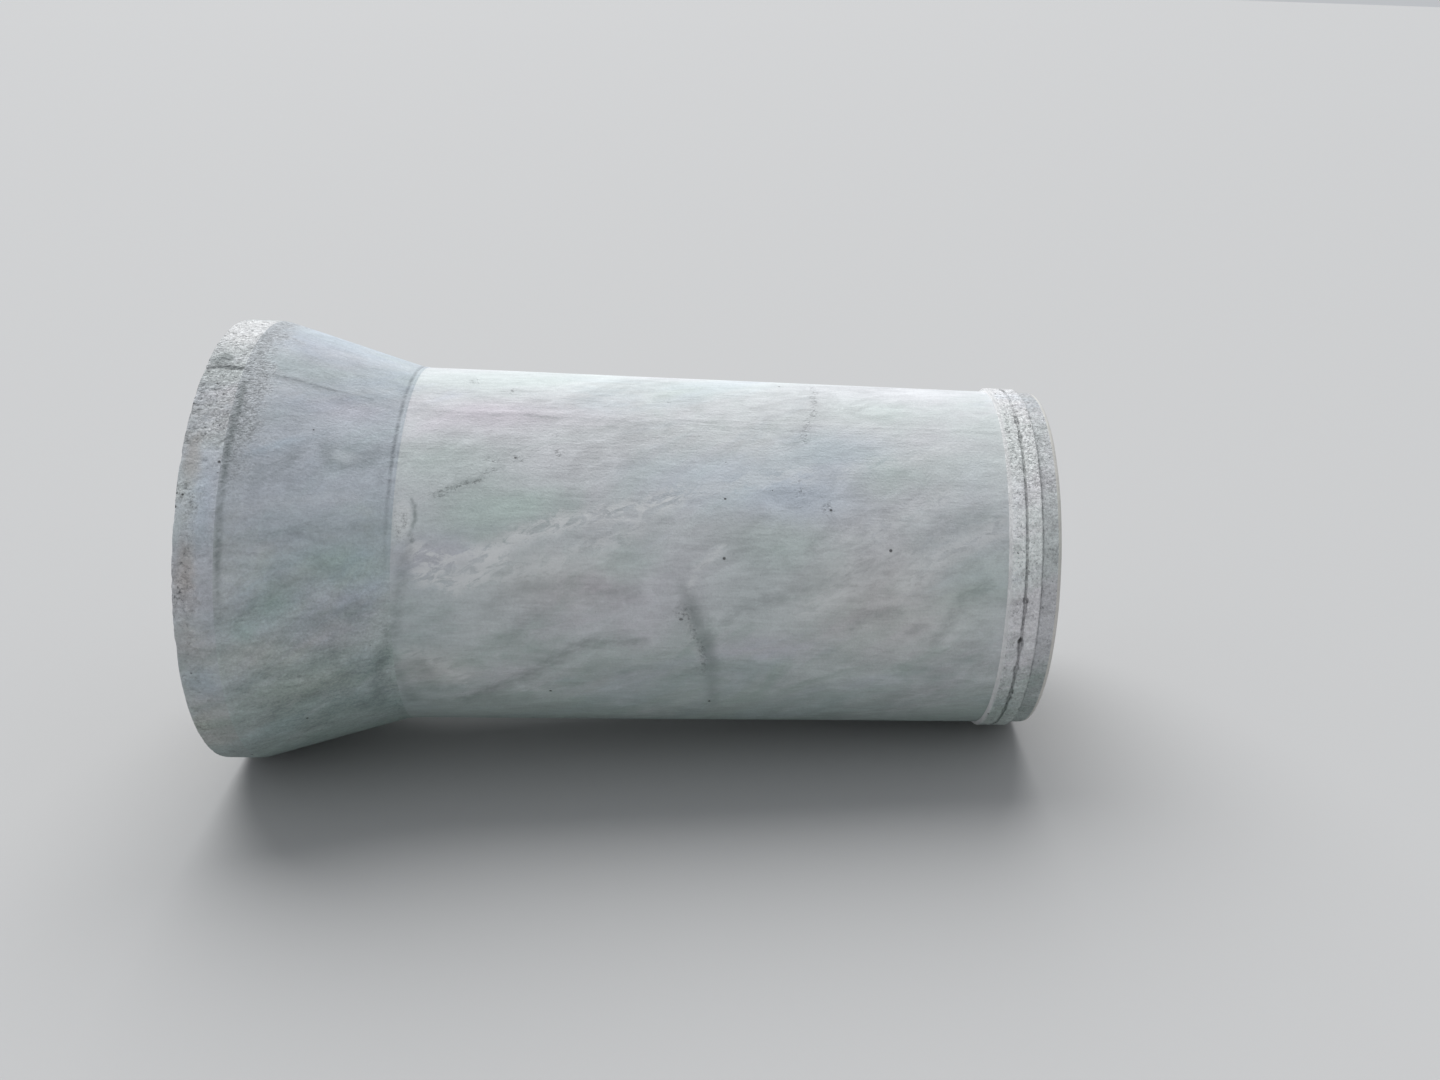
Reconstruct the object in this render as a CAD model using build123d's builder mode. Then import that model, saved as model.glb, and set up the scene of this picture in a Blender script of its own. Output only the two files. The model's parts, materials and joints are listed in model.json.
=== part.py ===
from build123d import *
from math import asin, atan2, cos, degrees, hypot, radians, sin, tan
import os

# Bell-and-spigot culvert pipe of reinforced concrete, cast in one piece, in millimetres.
# It lies on a level floor on two edges, the rim band of its bell and the collar of its
# spigot, so its axis falls slightly from the bell at -X to the spigot at +X.

# Barrel
bore_radius = 500.0
wall_thickness = 100.0
laying_length = 2500.0        # length that one pipe adds to the line
joint_gap = 10.0              # left between the nose and the shoulder in a laid joint

# Bell, outside
bell_radius = 735.0
rim_band_length = 122.0       # straight band behind the rim
flare_length = 450.0          # straight cone from the rim band down to the barrel
rim_round = 10.0
band_round = 30.0             # soft edge between the rim band and the flare

# Bell, inside
mouth_radius = 628.0
lead_in_length = 50.0         # cone that guides the spigot and its rubber ring in
socket_radius = 618.0
socket_depth = 205.0          # from the rim to the shoulder
mouth_round = 6.0
shoulder_round = 15.0         # in the corner between the socket's wall and its shoulder
bore_edge_bevel = 18.0        # at the bore's edge on the shoulder

# Spigot
collar_rise = 12.0            # collar above the barrel
collar_length = 105.0
bead_bevel = 5.0              # at the collar's edge towards the barrel
groove_offset = 53.0          # from the collar's start to the middle of its groove
groove_width = 8.0
groove_depth = 6.0
collar_round = 4.0            # at the collar's edge towards the nose
nose_drop = 12.0              # nose below the collar, the seat of the rubber ring
nose_length = 69.0
seat_round = 5.0              # in the corner where the rubber ring sits
nose_round = 14.0
spigot_bevel = 8.0            # at the bore's edge on the spigot's face

# Places along the axis, from the rim, and radii that follow from them
barrel_radius = bore_radius + wall_thickness
collar_radius = barrel_radius + collar_rise
nose_radius = collar_radius - nose_drop
overall_length = laying_length + socket_depth - joint_gap
flare_end = rim_band_length + flare_length
nose_start = overall_length - nose_length
collar_start = nose_start - collar_length
groove_start = collar_start + groove_offset - groove_width / 2
groove_end = groove_start + groove_width
groove_floor = collar_radius - groove_depth

# Lying attitude: the floor touches the rounds of the rim band and of the collar, so the
# centres of those two rounds give the slope of the axis and its height at the rim.
flare_angle = atan2(bell_radius - barrel_radius, flare_length)
band_touch = (rim_band_length - band_round * tan(flare_angle / 2), bell_radius - band_round)
collar_touch = (nose_start - collar_round, collar_radius - collar_round)
touch_run = collar_touch[0] - band_touch[0]
touch_fall = band_touch[1] - collar_touch[1]
tilt = atan2(touch_fall, touch_run) + asin((band_round - collar_round) / hypot(touch_run, touch_fall))
rim_height = band_touch[0] * sin(tilt) + band_touch[1] * cos(tilt) + band_round

# The rim's lowest corner and the nose's highest one are the ends of the pipe along X.
rim_reach = rim_round * cos(tilt) - (bell_radius - rim_round) * sin(tilt) - rim_round
nose_reach = (overall_length - nose_round) * cos(tilt) + (nose_radius - nose_round) * sin(tilt) + nose_round
rim_centre = Vector(-(rim_reach + nose_reach) / 2, 0, rim_height)
axis_direction = Vector(cos(tilt), 0, -sin(tilt))

# Half of the long section, with X along the pipe's axis and Y out from it
section_plane = Plane(origin=rim_centre, x_dir=axis_direction, z_dir=(0, -1, 0))

rim_corner = (0, bell_radius)
band_corner = (rim_band_length, bell_radius)
flare_foot = (flare_end, barrel_radius)
collar_foot = (collar_start, barrel_radius)
collar_edge = (collar_start, collar_radius)
step_edge = (nose_start, collar_radius)
step_root = (nose_start, nose_radius)
nose_corner = (overall_length, nose_radius)
spigot_bore_corner = (overall_length, bore_radius)
shoulder_bore_corner = (socket_depth, bore_radius)
shoulder_root = (socket_depth, socket_radius)
lead_in_end = (lead_in_length, socket_radius)
mouth_corner = (0, mouth_radius)

rounds = [
    (rim_corner, rim_round),
    (band_corner, band_round),
    (step_edge, collar_round),
    (step_root, seat_round),
    (nose_corner, nose_round),
    (shoulder_root, shoulder_round),
    (mouth_corner, mouth_round),
]
bevels = [
    (collar_edge, bead_bevel),
    (spigot_bore_corner, spigot_bevel),
    (shoulder_bore_corner, bore_edge_bevel),
]

with BuildPart() as culvert_pipe:
    with BuildSketch(section_plane) as section:
        with BuildLine():
            Polyline(
                rim_corner,
                band_corner,
                flare_foot,
                collar_foot,
                collar_edge,
                (groove_start, collar_radius),
                (groove_start, groove_floor),
                (groove_end, groove_floor),
                (groove_end, collar_radius),
                step_edge,
                step_root,
                nose_corner,
                spigot_bore_corner,
                shoulder_bore_corner,
                shoulder_root,
                lead_in_end,
                mouth_corner,
                close=True,
            )
        make_face()
        for corner, radius in rounds:
            fillet(section.vertices().sort_by_distance(corner)[0], radius)
        for corner, width in bevels:
            chamfer(section.vertices().sort_by_distance(corner)[0], width)
    revolve(axis=Axis(rim_centre, axis_direction))

culvert_pipe.part.label = "culvert_pipe"

os.makedirs("parts", exist_ok=True)
export_step(culvert_pipe.part, "parts/culvert_pipe.step")

print(f"overall length {overall_length:.0f} mm, slope of the axis {degrees(tilt):.2f} degrees")
print(f"centre of the rim at x {rim_centre.X:.2f}, z {rim_centre.Z:.2f} mm")
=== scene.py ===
# %% [markdown]
# A culvert pipe, cast standing in a steel mould
#
# The pipe is one casting of grey concrete, 2.7 metres long: a wide bell at the left, a straight barrel and a
# spigot with a raised collar at the right. The construction model gives its true shape and size. This lesson
# gives it the skin of a real casting: sandy bands where the mould rings leaked, seams where the steel shells
# met, air holes, cloudy cement and damp stains.

# %% Load the fixed frame
import json
from math import atan2, cos, degrees, hypot, pi, radians, sin

import bpy
from mathutils import Euler, Matrix, Vector, noise


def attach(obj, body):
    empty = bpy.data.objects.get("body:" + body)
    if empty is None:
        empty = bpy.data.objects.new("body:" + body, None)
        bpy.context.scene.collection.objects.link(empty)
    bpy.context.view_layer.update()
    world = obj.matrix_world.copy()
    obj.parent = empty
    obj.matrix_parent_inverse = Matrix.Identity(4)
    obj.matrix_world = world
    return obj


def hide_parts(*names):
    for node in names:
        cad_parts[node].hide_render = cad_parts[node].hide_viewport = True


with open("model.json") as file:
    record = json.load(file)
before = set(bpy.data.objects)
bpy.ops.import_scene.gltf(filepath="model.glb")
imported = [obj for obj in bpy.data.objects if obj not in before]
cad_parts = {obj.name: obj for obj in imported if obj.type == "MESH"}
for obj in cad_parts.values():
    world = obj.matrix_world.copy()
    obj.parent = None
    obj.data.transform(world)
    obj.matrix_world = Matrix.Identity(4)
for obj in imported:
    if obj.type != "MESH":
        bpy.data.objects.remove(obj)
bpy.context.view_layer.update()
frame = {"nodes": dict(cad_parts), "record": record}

print("nodes of the frame:", sorted(frame["nodes"]))

# %% [markdown]
# The pipe does not lie level. It rests on the rim of its bell and on the collar of its spigot, so its axis
# falls by nearly three degrees. Every place on the skin is easier to say in the pipe's own terms: how far
# along it is from the rim, and how far around it is from the side that faces the viewer. The record of the
# model tells where the socket, the spigot and the two end faces are, and the axis follows from them.

# %% The pipe's own axes
mounts = {mount["name"]: mount for mount in frame["record"]["mounts"]}


def mount_place(name):
    return Vector(mounts[name]["pos_m"])


def mount_radius(name):
    return mounts[name]["dims"]["r_mm"] / 1000


axis_along = Vector(mounts["spigot"]["axis"]).normalized()
axis_side = Vector((0, 1, 0))
axis_up = axis_along.cross(axis_side)
axis_slope = atan2(-axis_along.z, axis_along.x)
on_axis = mount_place("spigot")
rim_centre = on_axis + axis_along * (mount_place("bell_face") - on_axis).dot(axis_along)
overall_length = (mount_place("spigot_face") - rim_centre).dot(axis_along)
print("length", round(overall_length, 3), "slope", round(degrees(axis_slope), 2))


def pipe_point(along, out, around):
    """The point at a distance along the axis, a distance out from it and an angle (0 faces the viewer)."""
    return rim_centre + axis_along * along + (axis_up * sin(around) - axis_side * cos(around)) * out


# %% [markdown]
# The skin is a grid: rows run around the pipe and columns run along it. The rows follow the outline of half
# the long section, from the socket's mouth over the rim, along the outside to the spigot and back through
# the bore. Stretches that were left rough get many short rows, and smooth stretches get few, because a mesh
# only needs points where its surface changes.

# %% Sizes of the section, in metres
bore_radius = mount_radius("waterway")
socket_radius = mount_radius("socket")
collar_radius = mount_radius("spigot")
nose_radius = mount_radius("ring_seat")
barrel_radius = 0.600
bell_radius = 0.735
mouth_radius = 0.628

lead_in_end = 0.050              # places along the axis, from the rim
band_end = 0.122
socket_depth = 0.205
spill_end = 0.232                # sand from the rim band lies on the flare up to here
flare_end = 0.572
patch_end = 0.682                # the barrel has short rows up to here, for its dab of mortar
nose_start = overall_length - 0.069
collar_start = nose_start - 0.105

flare_slope = (bell_radius - barrel_radius) / (flare_end - band_end)
seam_half = 0.012                # half the stretch in which the flare meets the barrel
shoulder_bevel = 0.018
bore_bevel = 0.008
bead_bevel = 0.005

groove_middle = collar_start + 0.053
groove_width = 0.008
groove_depth = 0.006
groove_start = groove_middle - groove_width / 2
groove_end = groove_middle + groove_width / 2

fine_columns = 896
plain_columns = 448
print("flare from", band_end, "to", flare_end, "and collar from", round(collar_start, 3))

# %% The outline, corner by corner
# Each corner has its (along, out), the reach of its round, and the name, rows and columns of what follows.
corners = [
    ((0, mouth_radius), 0.006, "end_face", 3, plain_columns),
    ((0, bell_radius - 0.030), 0, "rim_edge", 3, fine_columns),
    ((0, bell_radius), 0.010, "rim_band", 17, fine_columns),
    ((band_end, bell_radius), 0.007, "flare", 9, plain_columns),
    ((spill_end, bell_radius - flare_slope * (spill_end - band_end)), 0, "flare", 9, plain_columns),
    ((flare_end - seam_half, barrel_radius + flare_slope * seam_half), 0, "seam", 6, plain_columns),
    ((flare_end + seam_half, barrel_radius), 0, "barrel", 9, plain_columns),
    ((patch_end, barrel_radius), 0, "barrel", 12, plain_columns),
    ((collar_start - 0.030, barrel_radius), 0, "barrel", 2, plain_columns),
    ((collar_start - 0.006, barrel_radius), 0, "bead", 2, fine_columns),
    ((collar_start, barrel_radius + 0.004), 0.003, "bead", 2, fine_columns),
    ((collar_start + bead_bevel, collar_radius), 0, "collar", 8, fine_columns),
    ((groove_start, collar_radius), 0.001, "groove", 1, fine_columns),
    ((groove_start + 0.001, collar_radius - groove_depth), 0, "groove", 1, fine_columns),
    ((groove_end - 0.001, collar_radius - groove_depth), 0, "groove", 1, fine_columns),
    ((groove_end, collar_radius), 0.001, "collar", 8, fine_columns),
    ((nose_start, collar_radius), 0.004, "step", 1, fine_columns),
    ((nose_start, nose_radius), 0.004, "nose", 6, fine_columns),
    ((overall_length, nose_radius), 0.014, "spigot_face", 3, plain_columns),
    ((overall_length, bore_radius + bore_bevel), 0, "spigot_face", 1, plain_columns),
    ((overall_length - bore_bevel, bore_radius), 0, "bore", 7, plain_columns),
    ((socket_depth + shoulder_bevel, bore_radius), 0, "shoulder", 1, plain_columns),
    ((socket_depth, bore_radius + shoulder_bevel), 0, "shoulder", 2, plain_columns),
    ((socket_depth, socket_radius), 0.015, "socket", 4, plain_columns),
    ((lead_in_end, socket_radius), 0, "socket", 2, plain_columns),
]


def round_corner(before, corner, after, reach, steps=3):
    """Points on a soft corner: a short curve that leaves one side and joins the next."""
    start = corner + (before - corner).normalized() * reach
    finish = corner + (after - corner).normalized() * reach
    shares = [step / steps for step in range(steps + 1)]
    return [start * (1 - t) ** 2 + corner * 2 * t * (1 - t) + finish * t ** 2 for t in shares]


def outline_rows():
    """All rows of the skin, as (along, out), the stretch they belong to and their number of columns."""
    places = [Vector(entry[0]) for entry in corners]
    soft = []
    for index, (_, reach, *_) in enumerate(corners):
        before = places[index - 1]
        after = places[(index + 1) % len(places)]
        soft.append(round_corner(before, places[index], after, reach) if reach else [places[index]])
    rows = []
    for index, (_, _, stretch, count, columns) in enumerate(corners):
        rows += [(point, stretch, columns) for point in soft[index]]
        start = soft[index][-1]
        finish = soft[(index + 1) % len(soft)][0]
        rows += [(start.lerp(finish, step / count), stretch, columns) for step in range(1, count)]
    return rows


rows = outline_rows()
print(len(rows), "rows, of them", sum(row[2] == fine_columns for row in rows), "fine ones")

# %% [markdown]
# The relief is what makes the casting look cast. Where a steel mould is tight the concrete comes out smooth,
# and where it leaks the cement runs out and leaves bare sand. So the rim band, the rim's edge and the collar
# are rough, and the flare and the barrel are nearly smooth. Each rule below gives how deep the skin lies
# under the model's own surface. Only the ridges of the seam and the joint, a dab of mortar and the lip at the
# collar stand proud of it, by less than four millimetres. None of them is near a side of the model's box, so
# nothing grows past it.

# %% Relief helpers
mould_joint = radians(65.7)      # the steel shells met along this line, and along the opposite one
pit_shape = 0.6                  # depth of a pit, as a share of its radius


def ease(low, high, value):
    """0 below low, 1 above high, and a smooth rise between them."""
    t = min(1, max(0, (value - low) / (high - low)))
    return t * t * (3 - 2 * t)


def around_gap(around, line):
    """Angle between a place and a line along the pipe, the short way round."""
    return abs((around - line + pi) % (2 * pi) - pi)


def joint_gap(around, out):
    """Distance on the skin to the nearer of the two mould joints."""
    return min(around_gap(around, mould_joint), around_gap(around, mould_joint + pi)) * out


def pits(point, cell, share, largest):
    """Depth of round air holes, at most one in each cell of space."""
    distances, centres = noise.voronoi(point / cell)
    chance = noise.cell(centres[0] * 7.3 + Vector((3.1, 1.7, 5.9)))
    if chance > share:
        return 0
    reach = largest * (0.4 + 0.6 * abs(noise.cell(centres[0] * 5.1)))
    near = distances[0] * cell / reach
    return reach * pit_shape * (1 - near * near) if near < 1 else 0


def sandy(point, depth):
    """Bare sand: grains of about a centimetre with hollows between them."""
    grains = noise.noise(point * 105) * 0.6 + noise.noise(point * 210 + Vector((9, 4, 2))) * 0.4
    patches = 0.65 + 0.5 * noise.noise(point * 14)
    return depth * patches * (0.55 - 0.8 * grains)


def broken_edge(point, depth):
    """Small spalls out of a sharp edge."""
    spall = noise.noise(point * 16 + Vector((2, 8, 5))) + 0.5 * noise.noise(point * 45)
    return depth * ease(0.12, 0.75, spall)


print("second mould joint at", round(degrees(mould_joint) - 180, 1), "degrees up the side")

# %% Relief of the rough rings
sand_depth = {
    "rim_edge": 0.0020,
    "rim_band": 0.0024,
    "bead": 0.0010,
    "collar": 0.0020,
    "groove": 0.0012,
    "step": 0.0012,
    "nose": 0.0010,
}
leak_along = 0.040               # the shells leaked most at this place of the rim band
leak_around = mould_joint + 0.05


def rim_relief(along, out, around, point, sand):
    """Rim band and rim edge: sandy above and along the rim, with pits, spalls and the open mould joint."""
    upper = ease(0.45, 0.75, sin(around) + 0.3 * noise.noise(point * 8))
    rim_side = 1 - ease(0.030, 0.070, along)
    near_rim = 1 - ease(0.0, 0.020, along + (bell_radius - out))
    leak = 1 - ease(0.020, 0.060, hypot(along - leak_along, around_gap(around, leak_around) * out))
    depth = sand * (0.4 + 0.6 * max(upper, 0.6 * rim_side))
    depth += broken_edge(point, 0.003 + 0.009 * leak) * near_rim
    small_pits = pits(point, cell=0.030, share=0.15, largest=0.006)
    depth += small_pits * max(upper, ease(0.010, 0.030, along))
    depth += pits(point, cell=0.022, share=leak, largest=0.009)
    return depth + 0.004 * (1 - ease(0.002, 0.008, joint_gap(around, out)))


def collar_relief(along, point, sand):
    """Collar, groove and step: pitted, with spalls out of every sharp edge."""
    edge = min(abs(along - groove_start), abs(along - groove_end), abs(along - nose_start))
    spalls = broken_edge(point, 0.006) * (1 - ease(0.002, 0.010, edge))
    return sand + spalls + pits(point, cell=0.034, share=0.15, largest=0.006)


def nose_relief(along, point, sand):
    """Nose: fine sand, with spalls out of the edge of the spigot's face."""
    return sand + broken_edge(point, 0.008) * ease(overall_length - 0.022, overall_length - 0.004, along)


def bead_lip(along, point):
    """The thin lip of cement that was pressed out at the collar's edge, proud of the collar."""
    lip = 1 - ease(0.002, 0.007, abs(along - collar_start - 0.004))
    return -0.0022 * lip * (0.7 + 0.9 * noise.noise(point * 12))


def ring_relief(stretch, along, out, around, point):
    """Relief of any of the sandy stretches."""
    sand = sandy(point, sand_depth[stretch])
    if stretch == "bead":
        return sand + bead_lip(along, point)
    if stretch == "nose":
        return max(0, nose_relief(along, point, sand))
    if stretch in ("rim_edge", "rim_band"):
        return max(0, rim_relief(along, out, around, point, sand))
    return max(0, collar_relief(along, point, sand))


print("sand on", len(sand_depth), "stretches, up to", 1000 * max(sand_depth.values()), "millimetres deep")

# %% Relief of the smooth skin
seam_furrow = flare_end - 0.004
seam_ridge = seam_furrow + 0.011
seam_height = 0.0026
spilled_depth = 0.0022
mortar_along = 0.614
mortar_around = radians(27.5)
mortar_half_length = 0.030
mortar_half_width = 0.062
mortar_height = 0.0035


def spilled(along, around, point):
    """How much sand lies on the start of the flare: most on the upper side, ending in a ragged line."""
    ragged_along = along + 0.05 * noise.noise(point * 11)
    return ease(0.45, 0.70, sin(around)) * (1 - ease(0.150, spill_end, ragged_along))


def smooth_shell(along, out, around, point):
    """Flare and barrel: a slight waviness, the seam where mould rings met and the lengthwise joint."""
    depth = 0.0009 + 0.0011 * noise.noise(point * 2.3) + 0.00035 * noise.noise(point * 60)
    strength = 0.55 + 0.6 * noise.noise(point * 3.1 + Vector((4, 4, 4)))
    depth += seam_height * strength * (1 - ease(0.002, 0.007, abs(along - seam_furrow)))
    depth -= seam_height * strength * (1 - ease(0.002, 0.006, abs(along - seam_ridge)))
    depth -= 0.0012 * (1 - ease(0.001, 0.006, joint_gap(around, out)))
    if along < spill_end:
        depth += sandy(point, spilled_depth) * spilled(along, around, point)
    return depth


def mortar_patch(along, around, point):
    """A dab of mortar beside the seam."""
    ragged = 1 + 0.5 * noise.noise(point * 22)
    across = (around - mortar_around) * barrel_radius
    gap = hypot((along - mortar_along) / mortar_half_length, across / mortar_half_width)
    return -mortar_height * (1 - ease(0.6, 1.1, gap * ragged))


print("seam ridge", 1000 * seam_height, "and mortar", 1000 * mortar_height, "millimetres high")

# %% Relief of any stretch
def relief(stretch, along, out, around):
    """How deep the skin lies under the model's surface at one place."""
    point = Vector((along, out * cos(around), out * sin(around)))
    if stretch in sand_depth:
        return ring_relief(stretch, along, out, around, point)
    if stretch in ("flare", "seam", "barrel"):
        return smooth_shell(along, out, around, point) + mortar_patch(along, around, point)
    if stretch in ("end_face", "spigot_face"):
        trowelled = 0.0006 + 0.0006 * noise.noise(point * 9)
        return trowelled + pits(point, cell=0.060, share=0.10, largest=0.006)
    rings = noise.noise(Vector((along * 60, out, 0)) + point * 1.5)
    return 0.0008 + 0.0007 * rings


edge_depth = relief("rim_edge", 0, bell_radius, mould_joint)
print("depth of the open joint at the rim's edge:", round(1000 * edge_depth, 1), "millimetres")

# %% [markdown]
# With the rows and the relief known, the mesh is plain bookkeeping. Each row becomes a ring of points. Two
# rings with equal columns are joined by four-sided faces. Where a fine ring meets a plain one, each plain
# edge faces two fine ones, and three triangles close the gap. The first column lies on the mould joint, so
# the joint is a clean line of points. Each stretch also brings the number of its finish, for its faces.

# %% Which finish each stretch gets
stretches_of_finish = {
    "trowelled_concrete": ("end_face", "spigot_face"),
    "sandy_concrete": ("rim_edge", "rim_band", "bead", "collar", "groove", "step", "nose"),
    "flare_concrete": ("flare", "seam"),
    "barrel_concrete": ("barrel",),
    "bore_concrete": ("bore", "shoulder", "socket"),
}
finish_names = list(stretches_of_finish)
finish_of = {}
for number, stretches in enumerate(stretches_of_finish.values()):
    finish_of.update(dict.fromkeys(stretches, number))
print("finishes:", finish_names)


# %% Points and faces
def ring_points(index):
    """The points of one row, each moved in along the outline's normal by its relief."""
    (along, out), stretch, columns = rows[index]
    before = rows[index - 1][0]
    after = rows[(index + 1) % len(rows)][0]
    run = (after - before).normalized()
    normal = Vector((-run.y, run.x))
    points = []
    for column in range(columns):
        around = mould_joint + 2 * pi * column / columns
        depth = relief(stretch, along, out, around)
        points.append(pipe_point(along - normal.x * depth, out - normal.y * depth, around))
    return points


def strip_faces(first, first_count, second, second_count):
    """Faces between two rings that start at the given point numbers."""
    if first_count == second_count:
        return [
            (first + c, second + c, second + (c + 1) % first_count, first + (c + 1) % first_count)
            for c in range(first_count)
        ]
    first_is_fine = first_count > second_count
    fine, plain = (first, second) if first_is_fine else (second, first)
    count = min(first_count, second_count)
    faces = []
    for c in range(count):
        here = plain + c
        there = plain + (c + 1) % count
        left = fine + 2 * c
        middle = left + 1
        right = fine + (2 * c + 2) % (2 * count)
        faces += [(here, left, middle), (here, middle, there), (there, middle, right)]
    return [face[::-1] for face in faces] if first_is_fine else faces


print("faces where two plain rings meet:", len(strip_faces(0, plain_columns, plain_columns, plain_columns)))


# %% Build the skin
def build_skin():
    points, faces, slots, starts = [], [], [], []
    for index in range(len(rows)):
        starts.append(len(points))
        points += ring_points(index)
    for index, (_, stretch, columns) in enumerate(rows):
        following = (index + 1) % len(rows)
        strip = strip_faces(starts[index], columns, starts[following], rows[following][2])
        faces += strip
        slots += [finish_of[stretch]] * len(strip)
    mesh = bpy.data.meshes.new("pipe_skin")
    mesh.from_pydata(points, [], faces)
    mesh.polygons.foreach_set("material_index", slots)
    mesh.polygons.foreach_set("use_smooth", [True] * len(faces))
    mesh.update()
    return mesh


pipe_skin = build_skin()
pipe = bpy.data.objects.new("pipe_casting", pipe_skin)
bpy.context.scene.collection.objects.link(pipe)
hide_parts("culvert_pipe")
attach(pipe, "root")
triangles = sum(len(face.vertices) - 2 for face in pipe_skin.polygons)
print("skin:", len(pipe_skin.vertices), "points,", triangles, "triangles")

# %% [markdown]
# Five finishes cover the casting: bare sandy concrete on the rings, the blue-grey flare, the pale barrel,
# the trowelled end faces and the dull bore. They share most of their effects, so each effect is a node group
# that is built once. The groups give only colours, masks and heights; each finish keeps its own shader.

# %% Node helpers
def node(tree, kind, sockets=None, **settings):
    """One shader node. A plain value is set on its socket, and another node's socket is linked to it."""
    made = tree.nodes.new("ShaderNode" + kind)
    for name, value in settings.items():
        setattr(made, name, value)
    for name, value in (sockets or {}).items():
        if isinstance(value, bpy.types.NodeSocket):
            tree.links.new(value, made.inputs[name])
        else:
            made.inputs[name].default_value = value
    return made


def calculate(tree, operation, *values):
    return node(tree, "Math", dict(enumerate(values)), operation=operation).outputs[0]


def times(tree, first, *others):
    """The product of two or more values."""
    for other in others:
        first = calculate(tree, "MULTIPLY", first, other)
    return first


def scaled_and_moved(tree, value, scale, added):
    return calculate(tree, "MULTIPLY_ADD", value, scale, added)


def between(tree, value, low, high, low_result=0.0, high_result=1.0):
    """A smooth change of the result while the value goes from low to high."""
    sockets = {"Value": value, 1: low, 2: high, 3: low_result, 4: high_result}
    return node(tree, "MapRange", sockets, interpolation_type="SMOOTHSTEP", clamp=False).outputs[0]


def mixed(tree, share, first, second, how="MIX"):
    """Two colours blended; how is MIX or MULTIPLY."""
    made = node(tree, "Mix", {0: share, 6: first, 7: second}, data_type="RGBA", blend_type=how)
    return made.outputs[2]


def vectors(tree, operation, first, second):
    return node(tree, "VectorMath", {0: first, 1: second}, operation=operation).outputs[0]


def cloud(tree, place, scale, detail=4.0, rough=0.55, bend=0.0):
    sockets = {"Vector": place, "Scale": scale, "Detail": detail, "Roughness": rough, "Distortion": bend}
    return node(tree, "TexNoise", sockets, noise_dimensions="3D").outputs["Fac"]


def stretched_cloud(tree, place, repeats, detail, rough, bend=0.0):
    """A noise with its own number of repeats per metre in each direction."""
    return cloud(tree, vectors(tree, "MULTIPLY", place, repeats), 1.0, detail, rough, bend)


# %% Group helpers
def new_group(name, inputs, outputs):
    """An empty node group with named sockets; returns it with the sockets of its input and output."""
    group = bpy.data.node_groups.new(name, "ShaderNodeTree")
    for direction, sockets in (("INPUT", inputs), ("OUTPUT", outputs)):
        for label, kind in sockets.items():
            group.interface.new_socket(label, in_out=direction, socket_type="NodeSocket" + kind)
    entry = group.nodes.new("NodeGroupInput")
    leaving = group.nodes.new("NodeGroupOutput")
    return group, entry.outputs, leaving.inputs


def put_out(group, leaving, **results):
    """Links results to a group's outputs; underscores in a name stand for spaces."""
    for label, value in results.items():
        group.links.new(value, leaving[label.replace("_", " ")])


def use(tree, group, **sockets):
    """Places a group in a material; underscores in a name stand for spaces."""
    made = tree.nodes.new("ShaderNodeGroup")
    made.node_tree = group
    for label, value in sockets.items():
        socket = made.inputs[label.replace("_", " ")]
        if isinstance(value, bpy.types.NodeSocket):
            tree.links.new(value, socket)
        else:
            socket.default_value = value
    return made.outputs


def tell(*groups):
    for group in groups:
        print("group", group.name, "has", len(group.nodes), "nodes")


# %% [markdown]
# Marks on the skin belong to places on the pipe, so the first group turns a point of space into the pipe's
# own terms. Its unrolled output is the skin laid flat, in metres: along the pipe, and around it at the
# barrel's radius. A line or a blot is then a simple distance on that flat sheet. Its twisted output is space
# wrung like a cloth around the axis: a pattern drawn straight along the pipe there comes out as a slanting
# wisp here. From Top is an angle in degrees, 0 at the top of the pipe and 180 at its foot, on both sides.

# %% Places on the pipe
wisp_twist = -0.60               # radians of twist per metre: wisps that rise to the right by 20 degrees


def build_pipe_places():
    outputs = {"Place": "Vector", "Twisted": "Vector", "Unrolled": "Vector"}
    outputs.update({"From Top": "Float", "Along": "Float"})
    group, _, leaving = new_group("pipe_places", {}, outputs)
    space = node(group, "TexCoord").outputs["Object"]
    centred = vectors(group, "SUBTRACT", space, rim_centre)
    turn = {"Vector": centred, "Angle": -axis_slope}
    level = node(group, "VectorRotate", turn, rotation_type="Y_AXIS").outputs[0]
    parts = node(group, "SeparateXYZ", {0: level}).outputs
    angle = calculate(group, "ARCTAN2", parts["Z"], times(group, parts["Y"], -1.0))
    flat = {"X": parts["X"], "Y": times(group, angle, barrel_radius)}
    unrolled = node(group, "CombineXYZ", flat).outputs[0]
    wring = {"Vector": level, "Angle": times(group, parts["X"], -wisp_twist)}
    twisted = node(group, "VectorRotate", wring, rotation_type="X_AXIS").outputs[0]
    from_top = calculate(group, "DEGREES", calculate(group, "ARCCOSINE", calculate(group, "SINE", angle)))
    put_out(group, leaving, Place=level, Twisted=twisted, Unrolled=unrolled)
    put_out(group, leaving, From_Top=from_top, Along=parts["X"])
    return group


pipe_places = build_pipe_places()
tell(pipe_places)

# %% [markdown]
# Cement never sets in one colour. The mix flows in the mould in clouds and slanting wisps, and the steel
# wall draws fine lines along the pipe as it is pulled off. Each of these is a noise of its own, so a finish
# can ask for much of one and little of another. The wisps are fine noise stretched along the twisted
# direction, with many layers of detail, because their edges are torn and not soft.

# %% Clouds, wisps and fine lines
torn_repeats = (3.2, 9.5, 9.5)   # repeats per metre along the pipe and in the two directions across it
curled_repeats = (4.5, 9.0, 9.0)
calm_repeats = (1.3, 2.4, 2.4)
mottle_repeats = (11.0, 44.0, 44.0)
line_repeats = (9.0, 95.0, 95.0)


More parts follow.
